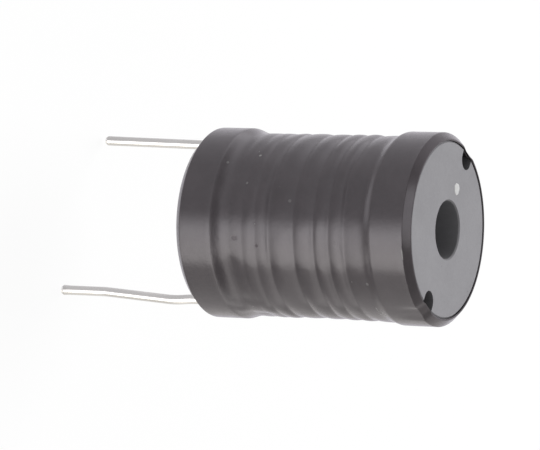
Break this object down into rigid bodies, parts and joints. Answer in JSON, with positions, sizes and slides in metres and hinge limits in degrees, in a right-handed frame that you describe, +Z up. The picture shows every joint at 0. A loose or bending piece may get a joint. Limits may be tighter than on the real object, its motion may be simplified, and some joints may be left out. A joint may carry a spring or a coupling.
{
  "type": "bobbin inductor",
  "caption": "Radial-lead bobbin inductor: a wound ferrite drum core with a screw hole, held in a ridged black shrink sleeve, with tinned leads that leave the lower flange.",
  "frame": {"origin": "centre of the screw hole in the core's lower end face", "axes": "+Z up the screw hole, from the end with the leads to the end with the dot; the leads lie on the X axis, the bent one on +X, and point along -Z"},
  "size_m": [0.016, 0.016, 0.0344],
  "materials": {
    "ferrite": "ground, semi-matte grey",
    "enamelled_copper": "clear enamel over copper",
    "tinned_wire": "bright tin",
    "solder": "satin solder",
    "shrink_sleeve": "satin black, shrunk",
    "ink": "flat white marking ink"
  },
  "bodies": {
    "root": {"ferrite_core": "ferrite", "winding": "enamelled_copper", "start_lead": "tinned_wire", "finish_lead": "tinned_wire", "start_joint": "solder", "finish_joint": "solder", "sleeve": "shrink_sleeve"}
  },
  "joints": []
}
